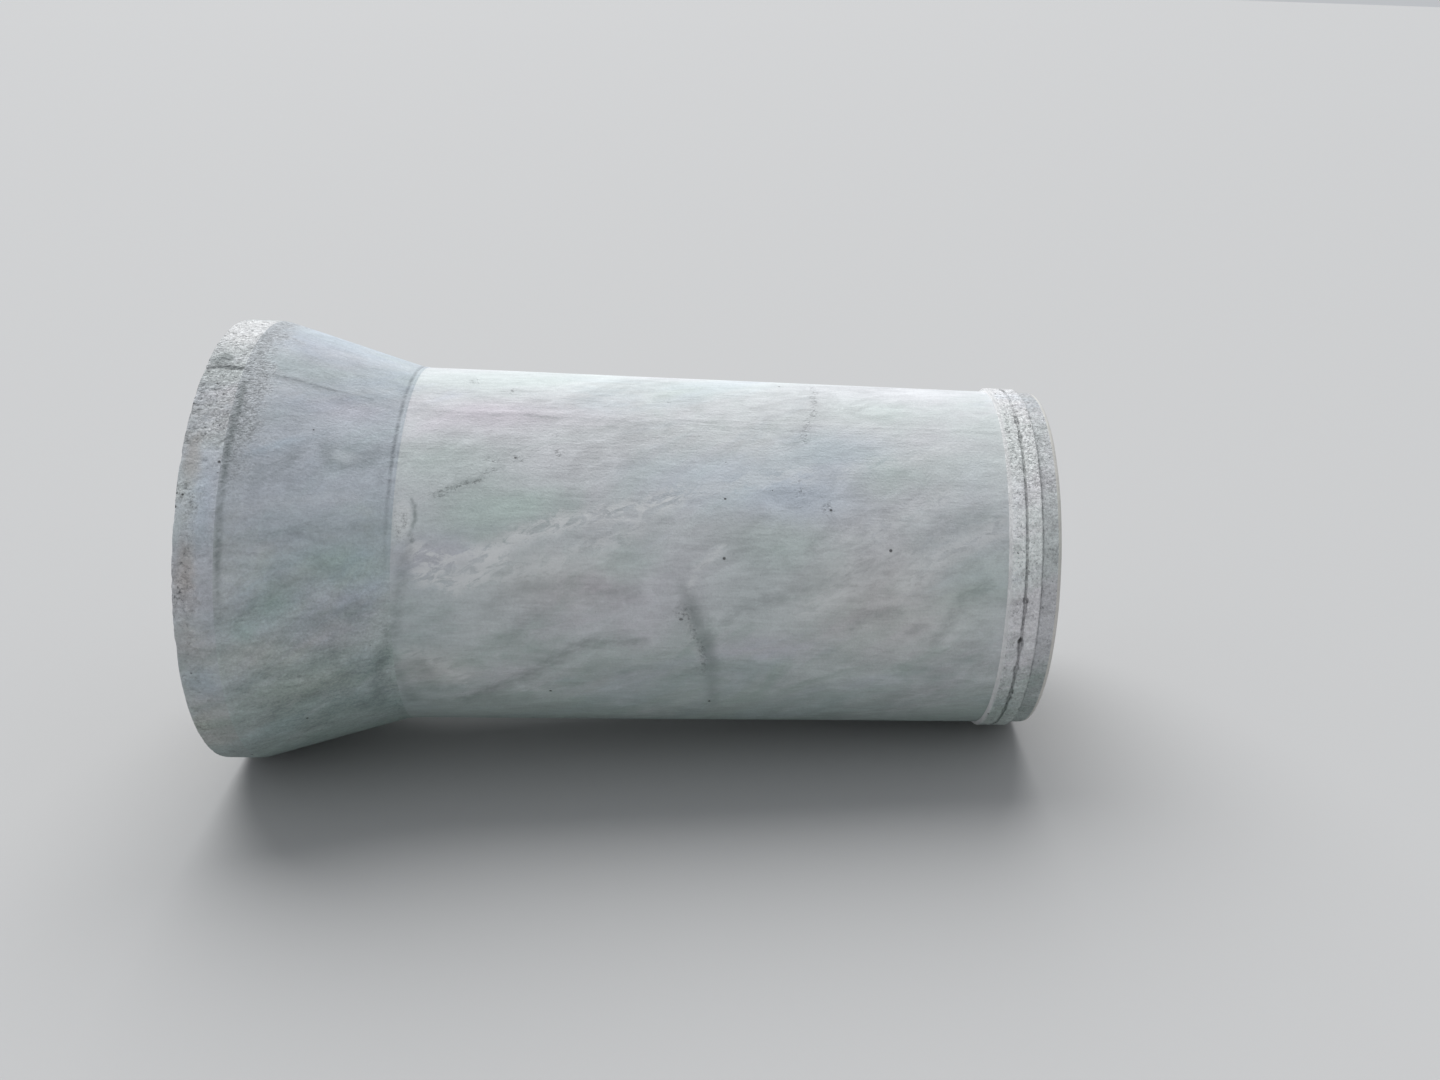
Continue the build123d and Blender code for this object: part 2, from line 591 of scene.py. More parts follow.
def build_cement_clouds():
    inputs = {"Place": "Vector", "Twisted": "Vector", "Clouds": "Float", "Wisps": "Float"}
    inputs.update({"Mottle": "Float", "Lines": "Float", "Grain": "Float"})
    group, given, leaving = new_group("cement_clouds", inputs, {"Shade": "Float", "Height": "Float"})
    place, twisted = given["Place"], given["Twisted"]
    clouds = between(group, cloud(group, place, 4.2, 8.0, 0.68, 0.3), 0.32, 0.68, -1.0, 1.0)
    torn = stretched_cloud(group, twisted, torn_repeats, 8.0, 0.70, 0.5)
    soft_wisps = between(group, torn, 0.36, 0.64, -0.6, 0.6)
    curled = stretched_cloud(group, twisted, curled_repeats, 9.0, 0.62, 1.1)
    wisps = calculate(group, "ADD", soft_wisps, between(group, curled, 0.47, 0.54, -0.5, 0.5))
    calm = stretched_cloud(group, twisted, calm_repeats, 4.0, 0.6)
    wisps = times(group, wisps, between(group, calm, 0.42, 0.60, 0.35, 1.35))
    blotches = stretched_cloud(group, place, mottle_repeats, 5.0, 0.70, 0.6)
    mottle = between(group, blotches, 0.34, 0.66, -1.0, 1.0)
    lines = between(group, stretched_cloud(group, place, line_repeats, 2.0, 0.6), 0.30, 0.70, -1.0, 1.0)
    lines = times(group, lines, between(group, torn, 0.42, 0.60, 1.0, 0.15))
    grain = between(group, cloud(group, place, 130.0, 3.0, 0.75), 0.28, 0.72, -1.0, 1.0)
    shade = scaled_and_moved(group, clouds, given["Clouds"], 1.0)
    for name, effect in (("Wisps", wisps), ("Mottle", mottle), ("Lines", lines), ("Grain", grain)):
        shade = scaled_and_moved(group, effect, given[name], shade)
    height = scaled_and_moved(group, lines, 0.25, times(group, grain, 0.5))
    height = scaled_and_moved(group, mottle, 0.10, height)
    put_out(group, leaving, Shade=shade, Height=height)
    return group


cement_clouds = build_cement_clouds()
tell(cement_clouds)

# %% [markdown]
# Damp concrete is not one grey either. Curing water leaves lilac, green and slate-blue patches, faint enough
# that nobody names them, and without them the pipe looks like plastic. Two slow noises choose between the
# three tints, and both follow the wisps.

# %% Faint tints
white = (1, 1, 1, 1)
green_haze = (0.955, 1.02, 0.975, 1)
lilac_haze = (1.035, 0.985, 1.01, 1)
blue_haze = (0.93, 0.985, 1.05, 1)


def build_cement_tints():
    inputs = {"Twisted": "Vector", "Strength": "Float"}
    group, given, leaving = new_group("cement_tints", inputs, {"Tint": "Color"})
    slow = vectors(group, "MULTIPLY", given["Twisted"], (1.3, 2.6, 2.6))
    warm = between(group, cloud(group, slow, 1.0, 6.0, 0.6, 0.6), 0.40, 0.60)
    shifted = vectors(group, "ADD", slow, (5.3, 1.7, 8.1))
    blue = between(group, cloud(group, shifted, 1.1, 6.0, 0.6, 0.6), 0.50, 0.66)
    tint = mixed(group, warm, green_haze, lilac_haze)
    tint = mixed(group, blue, tint, blue_haze)
    put_out(group, leaving, Tint=mixed(group, given["Strength"], white, tint))
    return group


cement_tints = build_cement_tints()
tell(cement_tints)

# %% [markdown]
# Air that was caught against the steel leaves small round holes, dark because light does not reach into
# them. They come in flocks: a slow noise says where a flock is, and a cell pattern puts at most one hole in
# a cell. Sand shows wherever the cement leaked away: every cell is a grain with a brightness of its own, and
# the gaps between some of them are deep.

# %% Air holes
def build_air_holes():
    inputs = {"Place": "Vector", "Cell": "Float", "Largest": "Float"}
    inputs.update({"Flocks": "Float", "Flock Size": "Float"})
    group, given, leaving = new_group("air_holes", inputs, {"Hole": "Float", "Height": "Float"})
    largest = given["Largest"]
    cells_per_metre = calculate(group, "DIVIDE", 1.0, given["Cell"])
    cells = node(group, "TexVoronoi", {"Vector": given["Place"], "Scale": cells_per_metre}, feature="F1")
    gap = times(group, cells.outputs["Distance"], given["Cell"])
    luck = node(group, "SeparateColor", {0: cells.outputs["Color"]}).outputs
    flocks_per_metre = calculate(group, "DIVIDE", 1.0, given["Flock Size"])
    flock = between(group, cloud(group, given["Place"], flocks_per_metre, 3.0), 0.52, 0.70)
    wanted = calculate(group, "LESS_THAN", luck["Red"], times(group, flock, given["Flocks"]))
    size = times(group, calculate(group, "POWER", luck["Green"], 4.0), largest)
    reach = times(group, scaled_and_moved(group, largest, 0.25, size), wanted)
    hole = between(group, gap, reach, times(group, reach, 0.45))
    hole = times(group, hole, wanted)
    put_out(group, leaving, Hole=hole, Height=times(group, hole, -1.0))
    return group


air_holes = build_air_holes()
tell(air_holes)

# %% Bare sand
level_rise = 2.3                 # so that the mean height of the sand is 0


def build_bare_sand():
    inputs = {"Place": "Vector", "Grain Size": "Float"}
    outputs = {"Shade": "Float", "Gaps": "Float", "Height": "Float"}
    group, given, leaving = new_group("bare_sand", inputs, outputs)
    grains_per_metre = calculate(group, "DIVIDE", 1.0, given["Grain Size"])
    grains = node(group, "TexVoronoi", {"Vector": given["Place"], "Scale": grains_per_metre}, feature="F1")
    luck = node(group, "SeparateColor", {0: grains.outputs["Color"]}).outputs
    bright = between(group, luck["Red"], 0.0, 1.0, 0.82, 1.14)
    edge = between(group, grains.outputs["Distance"], 0.20, 0.65)
    clumps = cloud(group, given["Place"], times(group, grains_per_metre, 0.60), 5.0, 0.75)
    lumpy = between(group, clumps, 0.30, 0.70, 1.16, 0.80)
    deep = between(group, clumps, 0.56, 0.66)
    height = calculate(group, "SUBTRACT", scaled_and_moved(group, luck["Green"], 0.5, level_rise), edge)
    height = scaled_and_moved(group, clumps, -4.0, height)
    put_out(group, leaving, Shade=times(group, bright, lumpy), Gaps=times(group, edge, deep), Height=height)
    return group


bare_sand = build_bare_sand()
tell(bare_sand)

# %% [markdown]
# A seam, a run of dirty water or a scrape is a line from one place to another on the unrolled skin. The
# group only measures the distance to a straight piece. What makes the line look natural is done before it:
# the sheet itself is pushed about by a noise, a little for seams and much for stains. A blot works the same
# way around a centre. A longer run is a chain of pieces, and its mask is the strongest of theirs.

# %% Wandering sheet, lines and blots
def vector_value(tree, operation, first, second=None):
    """A vector sum that gives one number, such as a length."""
    sockets = {0: first} if second is None else {0: first, 1: second}
    return node(tree, "VectorMath", sockets, operation=operation).outputs["Value"]


def build_wandering_sheet():
    inputs = {"Unrolled": "Vector", "Distance": "Float"}
    group, given, leaving = new_group("wandering_sheet", inputs, {"Sheet": "Vector"})
    sockets = {"Vector": given["Unrolled"], "Scale": 13.0, "Detail": 7.0, "Roughness": 0.65}
    push = vectors(group, "SUBTRACT", node(group, "TexNoise", sockets).outputs["Color"], (0.5, 0.5, 0.5))
    shift = node(group, "VectorMath", {0: push, "Scale": given["Distance"]}, operation="SCALE").outputs[0]
    moved = vectors(group, "ADD", given["Unrolled"], shift)
    put_out(group, leaving, Sheet=vectors(group, "MULTIPLY", moved, (1, 1, 0)))
    return group


def build_line_mark():
    inputs = {"Sheet": "Vector", "From": "Vector", "To": "Vector", "Width": "Float"}
    group, given, leaving = new_group("line_mark", inputs, {"Mask": "Float"})
    here = vectors(group, "SUBTRACT", given["Sheet"], given["From"])
    run = vectors(group, "SUBTRACT", given["To"], given["From"])
    reached = vector_value(group, "DOT_PRODUCT", here, run)
    whole = vector_value(group, "DOT_PRODUCT", run, run)
    share = calculate(group, "MAXIMUM", calculate(group, "DIVIDE", reached, whole), 0.0)
    share = calculate(group, "MINIMUM", share, 1.0)
    foot = node(group, "VectorMath", {0: run, "Scale": share}, operation="SCALE").outputs[0]
    gap = vector_value(group, "DISTANCE", here, foot)
    put_out(group, leaving, Mask=between(group, gap, given["Width"], 0.0))
    return group


blot_edge = 0.85                 # where a blot is half as strong, as a share of its half size


def build_blot():
    inputs = {"Sheet": "Vector", "Centre": "Vector", "Half Size": "Vector", "Softness": "Float"}
    group, given, leaving = new_group("blot", inputs, {"Mask": "Float"})
    offset = vectors(group, "SUBTRACT", given["Sheet"], given["Centre"])
    reach = vector_value(group, "LENGTH", vectors(group, "DIVIDE", offset, given["Half Size"]))
    outer = calculate(group, "ADD", blot_edge, given["Softness"])
    inner = calculate(group, "SUBTRACT", blot_edge, given["Softness"])
    put_out(group, leaving, Mask=between(group, reach, outer, inner))
    return group


wandering_sheet = build_wandering_sheet()
line_mark = build_line_mark()
blot = build_blot()
tell(wandering_sheet, line_mark, blot)

# %% Marks laid over a colour
usual_softness = 0.3             # of a blot's edge, as a share of its size
fleck_softness = 0.5
broad_softness = 0.7


def on_sheet(along, around_degrees):
    """A place on the unrolled skin."""
    return Vector((along, radians(around_degrees) * barrel_radius, 0))


def ring_line(along):
    """The chain of a line once around the pipe."""
    return [(along, -181), (along, 181)]


def line_mask(tree, sheet, chain, width):
    """Mask of a chain of straight pieces through the given places."""
    strongest = None
    for start, finish in zip(chain, chain[1:]):
        ends = {"From": on_sheet(*start), "To": on_sheet(*finish)}
        piece = use(tree, line_mark, Sheet=sheet, Width=width, **ends)["Mask"]
        strongest = piece if strongest is None else calculate(tree, "MAXIMUM", strongest, piece)
    return strongest


def lay_lines(tree, colour, sheet, stain, lines, torn=None):
    """Lays lines of one stain over a colour. Each line is (chain of places, width, strength)."""
    for chain, width, strength in lines:
        share = times(tree, line_mask(tree, sheet, chain, width), strength)
        if torn is not None:
            share = times(tree, share, torn)
        colour = mixed(tree, share, colour, stain)
    return colour


def blot_mask(tree, sheet, place, half, softness=usual_softness):
    """Mask of an oval blot with the given half length and half height in metres."""
    shape = {"Centre": on_sheet(*place), "Half_Size": (*half, 1), "Softness": softness}
    return use(tree, blot, Sheet=sheet, **shape)["Mask"]


def lay_blots(tree, colour, sheet, stain, blots, softness=usual_softness):
    """Lays blots of one stain over a colour. Each blot is (place, half size, strength)."""
    for place, half, strength in blots:
        share = times(tree, blot_mask(tree, sheet, place, half, softness), strength)
        colour = mixed(tree, share, colour, stain)
    return colour


def lay_tints(tree, colour, sheet, tints):
    """Multiplies broad soft patches into a colour. Each is (tint, place, half size, strength)."""
    for tint, place, half, strength in tints:
        share = times(tree, blot_mask(tree, sheet, place, half, broad_softness), strength)
        colour = mixed(tree, share, colour, tint, "MULTIPLY")
    return colour


# %% [markdown]
# Two more effects are shared by several finishes. Every stain has torn edges, because water creeps from
# grain to grain, so one mask of small flecks breaks them up. And the skin turns darker and greener where it
# faces down: partly damp dirt, since rain washes the back of the pipe and leaves the belly damp, and partly
# painted shade on the underside.

# %% Torn edges, and damp grime with painted shade
def build_torn_edges():
    group, given, leaving = new_group("torn_edges", {"Twisted": "Vector"}, {"Mask": "Float"})
    flecks = stretched_cloud(group, given["Twisted"], (30.0, 55.0, 55.0), 6.0, 0.7)
    put_out(group, leaving, Mask=between(group, flecks, 0.34, 0.62, 0.35, 1.10))
    return group


# darker, greener patches towards the underside: partly damp dirt, partly painted shade
def build_damp_grime_and_shade():
    inputs = {"Twisted": "Vector", "From Top": "Float", "Amount": "Float"}
    group, given, leaving = new_group("damp_grime_and_shade", inputs, {"Mask": "Float"})
    patches = stretched_cloud(group, given["Twisted"], (3.0, 6.0, 6.0), 8.0, 0.68, 0.6)
    patches = calculate(group, "SUBTRACT", patches, 0.5)
    highness = calculate(group, "COSINE", calculate(group, "RADIANS", given["From Top"]))
    level = calculate(group, "SUBTRACT", times(group, patches, 2.2), highness)
    put_out(group, leaving, Mask=times(group, between(group, level, -0.15, 0.75), given["Amount"]))
    return group


torn_edges = build_torn_edges()
damp_grime_and_shade = build_damp_grime_and_shade()
tell(torn_edges, damp_grime_and_shade)

# %% [markdown]
# Each finish starts from its own cement colour, multiplies in the clouds and tints, and then lays its marks
# over it one by one, the way stains lie over a wall. Roughness stays high, because bare concrete has no
# polish, and a bump carries only what is finer than the mesh.

# %% Colours that several finishes use
dark_stain = (0.13, 0.16, 0.155, 1)
pale_bloom = (0.80, 0.81, 0.81, 1)
hole_dark = (0.045, 0.045, 0.045, 1)
sand_gap_dark = (0.10, 0.105, 0.11, 1)
# green-grey of damp dirt and of painted shade on the underside
grime_and_shade_green = (0.62, 0.72, 0.66, 1)
lilac_tint = (1.02, 0.955, 1.0, 1)
green_tint = (0.90, 0.985, 0.93, 1)
blue_tint = (0.88, 0.945, 1.01, 1)
brown_tint = (1.02, 0.965, 0.92, 1)
print("dark stain", dark_stain[:3], "and pale bloom", pale_bloom[:3])

# %% Start and end of every finish
seam_wander = 0.006              # how far the noise pushes a seam about, in metres
stain_wander = 0.060
matt_shine = 0.3                 # bare concrete mirrors less than most things do


def start_finish(name):
    material = bpy.data.materials.new(name)
    material.use_nodes = True
    tree = material.node_tree
    tree.nodes.clear()
    return material, tree, use(tree, pipe_places)


def moved_sheet(tree, places, distance):
    """The unrolled skin, pushed about by up to about the given distance."""
    return use(tree, wandering_sheet, Unrolled=places["Unrolled"], Distance=distance)["Sheet"]


def mark_sheets(tree, places):
    """What marks are laid on: a sheet for seams, a wilder one for stains, and the mask of torn edges."""
    seam_sheet = moved_sheet(tree, places, seam_wander)
    stain_sheet = moved_sheet(tree, places, stain_wander)
    return seam_sheet, stain_sheet, use(tree, torn_edges, Twisted=places["Twisted"])["Mask"]


def uneven_roughness(tree, places, scale, low, high):
    """Roughness that varies slowly between two values, with so many clouds per metre."""
    return between(tree, cloud(tree, places["Place"], scale), 0.3, 0.7, low, high)


def end_finish(material, colour, roughness, height, bump_depth):
    tree = material.node_tree
    bump = node(tree, "Bump", {"Strength": 1.0, "Distance": bump_depth, "Height": height})
    sockets = {"Base Color": colour, "Roughness": roughness, "Normal": bump.outputs[0]}
    sockets["Specular IOR Level"] = matt_shine
    shader = node(tree, "BsdfPrincipled", sockets)
    node(tree, "OutputMaterial", {"Surface": shader.outputs[0]})
    print("finish", material.name, "has", len(tree.nodes), "nodes")


# %% Steps that build up a finish
hole_strength = 0.85             # how much of a hole's dark covers the cement


def shaded(tree, colour, shade):
    """A colour made darker or lighter by a value that varies over the surface."""
    grey = node(tree, "CombineColor", {0: shade, 1: shade, 2: shade}).outputs[0]
    return mixed(tree, 1.0, colour, grey, "MULTIPLY")


def cement(tree, places, colour, clouds, wisps, mottle, lines, grain, tints):
    """The plain cement of a finish, before its marks: a colour and a height."""
    amounts = {"Clouds": clouds, "Wisps": wisps, "Mottle": mottle, "Lines": lines, "Grain": grain}
    look = use(tree, cement_clouds, Place=places["Place"], Twisted=places["Twisted"], **amounts)
    tint = use(tree, cement_tints, Twisted=places["Twisted"], Strength=tints)["Tint"]
    return shaded(tree, mixed(tree, 1.0, colour, tint, "MULTIPLY"), look["Shade"]), look["Height"]


def grime_and_shade(tree, places, colour, amount):
    """Damp green-grey dirt and painted shade, both thickening towards the underside, in torn patches."""
    where = {"Twisted": places["Twisted"], "From_Top": places["From Top"]}
    mask = use(tree, damp_grime_and_shade, Amount=amount, **where)["Mask"]
    return mixed(tree, mask, colour, grime_and_shade_green, "MULTIPLY")


def dark_holes(tree, places, colour, height, cell, largest, flocks, flock_size, depth=3.0):
    """Air holes over a finish: darkens the colour and lowers the height."""
    sizes = {"Cell": cell, "Largest": largest, "Flocks": flocks, "Flock_Size": flock_size}
    holes = use(tree, air_holes, Place=places["Place"], **sizes)
    colour = mixed(tree, times(tree, holes["Hole"], hole_strength), colour, hole_dark)
    return colour, scaled_and_moved(tree, holes["Height"], depth, height)


def lay_sand(tree, places, colour, height, mask, grain_size, depth, darkness=1.0):
    """Bare sand where the mask is 1. The darkness is that of the gaps between its grains."""
    sand = use(tree, bare_sand, Place=places["Place"], Grain_Size=grain_size)
    colour = mixed(tree, mask, colour, shaded(tree, colour, sand["Shade"]))
    colour = mixed(tree, times(tree, sand["Gaps"], mask, darkness), colour, sand_gap_dark)
    rise = times(tree, sand["Height"], times(tree, mask, depth))
    return colour, calculate(tree, "ADD", rise, height)


# %% [markdown]
# The barrel is the plainest part and still carries the most marks. Dirty water ran down and left a dark
# smear in the middle. A scrape climbs slantwise at the lower left. Short dark strokes and pale wisps rise to
# the right, and the tints change from lilac near the bell to slate blue in the middle.

# %% The pale barrel: its lines
# A line is a chain of places, in metres from the rim and degrees up the side, then a width and a strength.
barrel_smear = [
    ([(1.466, 10), (1.490, 5), (1.515, -2)], 0.034, 0.20),
    ([(1.492, 3), (1.536, -6), (1.562, -15)], 0.056, 0.30),
    ([(1.548, -8), (1.570, -20), (1.576, -38)], 0.038, 0.26),
]
barrel_dark_lines = [
    ([(0.572, -16), (0.600, -25), (0.620, -37)], 0.034, 0.26),
    ([(0.590, -6), (0.660, -16), (0.700, -30)], 0.040, 0.18),
    ([(0.780, -37), (0.865, -31), (1.130, -12), (1.180, -9.5), (1.340, -9)], 0.042, 0.32),
    ([(0.880, 1), (0.950, 7), (1.010, 9), (1.320, 7)], 0.060, 0.20),
    ([(0.940, -7), (1.015, 0)], 0.060, 0.18),
    ([(1.615, 0), (1.660, 4), (1.780, 6.5)], 0.034, 0.26),
    ([(2.290, -6), (2.330, -1), (2.370, 8), (2.450, 12)], 0.042, 0.28),
    ([(2.010, -4), (2.060, 1), (2.160, 3)], 0.032, 0.26),
    ([(2.200, -4), (2.240, -1)], 0.028, 0.26),
    ([(0.700, 35), (0.760, 37), (0.850, 42), (0.900, 44)], 0.024, 0.20),
    ([(0.640, 34), (0.653, 28), (0.648, 21)], 0.012, 0.45),
    ([(0.640, 20), (0.610, 8), (0.590, -4), (0.564, -12)], 0.040, 0.30),
    ([(0.850, 65), (1.850, 62)], 0.014, 0.20),
    ([(0.860, 24), (1.020, 27), (1.140, 33)], 0.050, 0.14),
    ([(1.830, 8), (2.050, 16), (2.300, 29), (2.480, 34)], 0.055, 0.20),
    ([(0.620, 66), (0.900, 62), (1.300, 61)], 0.050, 0.10),
    ([(1.200, -22), (1.500, -20), (1.900, -26)], 0.080, 0.16),
    ([(1.950, -14), (2.200, -18), (2.480, -14)], 0.070, 0.14),
]
barrel_pale_lines = [
    ([(0.870, 19), (0.980, 24), (1.080, 28)], 0.060, 0.78),
    ([(1.060, 27), (1.170, 30), (1.300, 32), (1.430, 36)], 0.055, 0.70),
    ([(1.400, 37), (1.600, 41), (1.850, 46)], 0.070, 0.30),
    ([(0.930, 12), (1.080, 15), (1.300, 26)], 0.070, 0.45),
    ([(1.940, 46), (2.130, 51), (2.340, 57)], 0.050, 0.26),
    ([(2.180, 12), (2.300, 22), (2.480, 30)], 0.070, 0.44),
    ([(1.860, 3), (1.960, 9), (2.080, 14)], 0.060, 0.44),
    ([(1.950, 14), (2.060, 20), (2.200, 22)], 0.055, 0.44),
    ([(0.680, 12), (0.770, 9), (0.860, 12)], 0.060, 0.76),
    ([(0.660, 19), (0.730, 15), (0.800, 18), (0.900, 17)], 0.055, 0.76),
    ([(0.640, -14), (0.720, -18), (0.800, -26)], 0.060, 0.34),
    ([(1.480, 9), (1.515, 15), (1.560, 20), (1.590, 22)], 0.022, 0.50),
    ([(1.470, 3), (1.500, -7), (1.535, -16)], 0.020, 0.30),
    ([(2.000, 24), (2.140, 30), (2.300, 40)], 0.060, 0.34),
]
print("barrel:", len(barrel_dark_lines), "dark and", len(barrel_pale_lines), "pale lines")

# %% The pale barrel: its specks, holes and tints
# Each place is in metres from the rim and degrees up the side, and each half size is in metres.
barrel_speck_blots = [
    ((mortar_along - 0.004, 26), (0.030, 0.060)),
    ((0.950, 48), (0.030, 0.014)),
    ((1.065, 50), (0.022, 0.018)),
    ((1.052, 57), (0.012, 0.018)),
    ((0.870, 47), (0.030, 0.014)),
    ((1.475, 1), (0.028, 0.034)),
    ((1.830, 40), (0.016, 0.040)),
    ((1.924, 34), (0.020, 0.026)),
    ((0.765, 84), (0.018, 0.030)),
    ((0.900, 78), (0.012, 0.020)),
    ((1.397, 75), (0.016, 0.016)),
]
barrel_speck_lines = [
    ([(0.700, 35), (0.790, 38), (0.870, 43)], 0.020),
    ([(1.890, 95), (1.885, 78), (1.865, 68), (1.845, 58)], 0.024),
    ([(1.500, -4), (1.530, -12), (1.545, -20)], 0.026),
]
barrel_single_holes = [
    ((2.125, 22), (0.006, 0.006), 0.85),
    ((1.930, 34), (0.005, 0.005), 0.80),
    ((0.935, 48), (0.005, 0.004), 0.70),
    ((1.466, -1), (0.008, 0.005), 0.60),
]
barrel_cement = (0.598, 0.621, 0.634, 1)
# painted shade along the upper back side of the barrel
barrel_back_shade = (0.91, 0.91, 0.90, 1)
# painted shade on the barrel's lower side, next to the flare
barrel_foot_shade = (0.88, 0.90, 0.91, 1)
barrel_tints = [
    (barrel_back_shade, (1.50, 66), (1.40, 0.20), 1.0),
    (lilac_tint, (0.74, 64), (0.22, 0.12), 0.8),
    (lilac_tint, (0.70, 17), (0.14, 0.06), 0.8),
    (lilac_tint, (1.00, 65), (0.26, 0.06), 0.6),
    (lilac_tint, (1.25, 3), (0.32, 0.11), 0.7),
    (lilac_tint, (1.70, -10), (0.18, 0.05), 0.8),
    (lilac_tint, (2.28, 59), (0.24, 0.05), 0.5),
    (green_tint, (0.75, 45), (0.20, 0.11), 0.7),
    (green_tint, (0.86, 30), (0.14, 0.09), 0.8),
    (green_tint, (1.03, 34), (0.12, 0.06), 0.8),
    (green_tint, (1.29, 16), (0.10, 0.07), 0.7),
    (green_tint, (1.75, 24), (0.18, 0.08), 0.8),
    (green_tint, (1.35, 86), (0.60, 0.10), 0.4),
    (green_tint, (2.07, 74), (0.20, 0.09), 0.5),
    (green_tint, (2.11, 45), (0.11, 0.07), 0.6),
    (green_tint, (2.42, 7), (0.14, 0.15), 0.7),
    (blue_tint, (1.62, 42), (0.32, 0.11), 0.7),
    (blue_tint, (1.95, 54), (0.18, 0.10), 0.7),
    (blue_tint, (1.86, 37), (0.18, 0.08), 0.6),
    (brown_tint, (2.12, 5), (0.28, 0.20), 0.6),
    (brown_tint, (0.70, -21), (0.13, 0.09), 0.6),
    (brown_tint, (1.10, 10), (0.20, 0.10), 0.4),
]
barrel_foot_tints = [(barrel_foot_shade, (0.60, -12), (0.20, 0.42), 1.0)]
barrel_flocks = len(barrel_speck_blots) + len(barrel_speck_lines)
print("barrel:", barrel_flocks, "flocks of specks and", len(barrel_tints), "tints")


# %% The pale barrel: its shader
curl_repeats = (15.0, 30.0, 30.0)    # per metre along and across the wisps
barrel_seam = [(ring_line(0.574), 0.005, 0.40)]
barrel_mortar = [((mortar_along, degrees(mortar_around)), (0.032, 0.070), 0.50)]


def barrel_specks(tree, places, sheet):
    """Mask of all flocks of specks, broken up so that no flock is a solid spot."""
    masks = [blot_mask(tree, sheet, place, half, fleck_softness) for place, half in barrel_speck_blots]
    masks += [line_mask(tree, sheet, chain, width) for chain, width in barrel_speck_lines]
    strongest = masks[0]
    for mask in masks[1:]:
        strongest = calculate(tree, "MAXIMUM", strongest, mask)
    scattered = between(tree, cloud(tree, places["Place"], 75.0, 3.0, 0.6), 0.46, 0.54, 0.12, 1.0)
    return times(tree, strongest, scattered)


def barrel_finish():
    material, tree, places = start_finish("barrel_concrete")
    seam_sheet, stain_sheet, torn = mark_sheets(tree, places)
    colour, height = cement(
        tree, places, barrel_cement,
        clouds=0.05, wisps=0.070, mottle=0.055, lines=0.045, grain=0.055, tints=0.40,
    )
    colour = lay_tints(tree, colour, stain_sheet, barrel_tints)
    colour = grime_and_shade(tree, places, colour, 0.8)
    colour = lay_tints(tree, colour, stain_sheet, barrel_foot_tints)
    curls = between(tree, stretched_cloud(tree, places["Twisted"], curl_repeats, 7.0, 0.66, 1.0), 0.43, 0.54)
    colour = lay_lines(tree, colour, stain_sheet, pale_bloom, barrel_pale_lines, curls)
    colour = lay_lines(tree, colour, moved_sheet(tree, places, 0.024), dark_stain, barrel_smear)
    colour = lay_lines(tree, colour, stain_sheet, dark_stain, barrel_dark_lines, torn)
    colour = lay_lines(tree, colour, seam_sheet, dark_stain, barrel_seam)
    colour = lay_blots(tree, colour, seam_sheet, pale_bloom, barrel_mortar)
    specks = barrel_specks(tree, places, stain_sheet)
    colour, height = lay_sand(
        tree, places, colour, height, specks,
        grain_size=0.0070, depth=1.6, darkness=0.65,
    )
    colour = lay_blots(tree, colour, seam_sheet, hole_dark, barrel_single_holes)
    colour, height = dark_holes(
        tree, places, colour, height,
        cell=0.030, largest=0.0055, flocks=0.35, flock_size=0.25,
    )
    roughness = uneven_roughness(tree, places, 7.0, 0.66, 0.84)
    end_finish(material, colour, roughness, height, bump_depth=0.0010)


barrel_finish()

# %% [markdown]
# The flare was cast against its own steel ring, which left it slate blue above and greener below, and the
# change of colour at the seam is sharp. Sand spilled over it from the rim band, most of it high on the side.

# %% The blue-grey flare: its marks
flare_dark_lines = [
    ([(0.205, 36), (0.250, 38), (0.295, 42)], 0.050, 0.26),
    ([(0.370, 48), (0.400, 42), (0.470, 41), (0.520, 49)], 0.040, 0.18),
    ([(0.140, 17), (0.300, 22), (0.420, 24), (0.560, 24)], 0.050, 0.18),
    ([(0.120, 2), (0.260, 6), (0.420, 14)], 0.050, 0.20),
    ([(0.140, -8), (0.330, -2), (0.560, 4)], 0.044, 0.20),
    ([(0.170, -18), (0.260, -14), (0.340, -16), (0.440, -8)], 0.040, 0.26),
    ([(0.200, -33), (0.300, -26), (0.420, -22), (0.560, -16)], 0.046, 0.28),
    ([(0.300, -42), (0.400, -34), (0.470, -36), (0.570, -28)], 0.044, 0.28),
    ([(0.580, -6), (0.552, -16), (0.530, -26), (0.520, -40)], 0.036, 0.34),
    ([(0.420, -12), (0.440, -24), (0.470, -38)], 0.030, 0.22),
]
flare_pale_lines = [
    ([(0.150, 60), (0.300, 63), (0.520, 72)], 0.050, 0.14),
    ([(0.140, 27), (0.300, 30), (0.480, 33)], 0.040, 0.12),
    ([(0.300, 84), (0.420, 88), (0.560, 92)], 0.060, 0.15),
]
flare_joint = [([(0.10, 65.9), (0.48, 66.3)], 0.011, 0.30), ([(0.23, 66.4), (0.37, 65.8)], 0.012, 0.36)]
flare_eye_ring = [((0.425, 45.0), (0.060, 0.042), 0.20)]      # a pale drop with a dark ring around it
flare_eye = [((0.434, 44.4), (0.038, 0.022), 0.60)]
band_foot_crisp = (ring_line(0.127), 0.017)      # the dark foot of the rim band, crisp and then soft
# a soft, ragged painted shadow at the foot of the rim band, on its upper side
band_foot_painted_shadow = (ring_line(0.132), 0.044)
flare_seam = (ring_line(0.567), 0.010)
flare_upper_cement = (0.475, 0.520, 0.560, 1)
flare_lower_cement = (0.495, 0.535, 0.540, 1)
# painted shade on the upper back side of the flare
flare_back_shade = (0.81, 0.80, 0.785, 1)
flare_eye_grey = (0.62, 0.66, 0.69, 1)
flare_sand_grey = (0.56, 0.58, 0.60, 1)
seam_dark = (0.07, 0.08, 0.09, 1)
joint_grey = (0.09, 0.10, 0.11, 1)
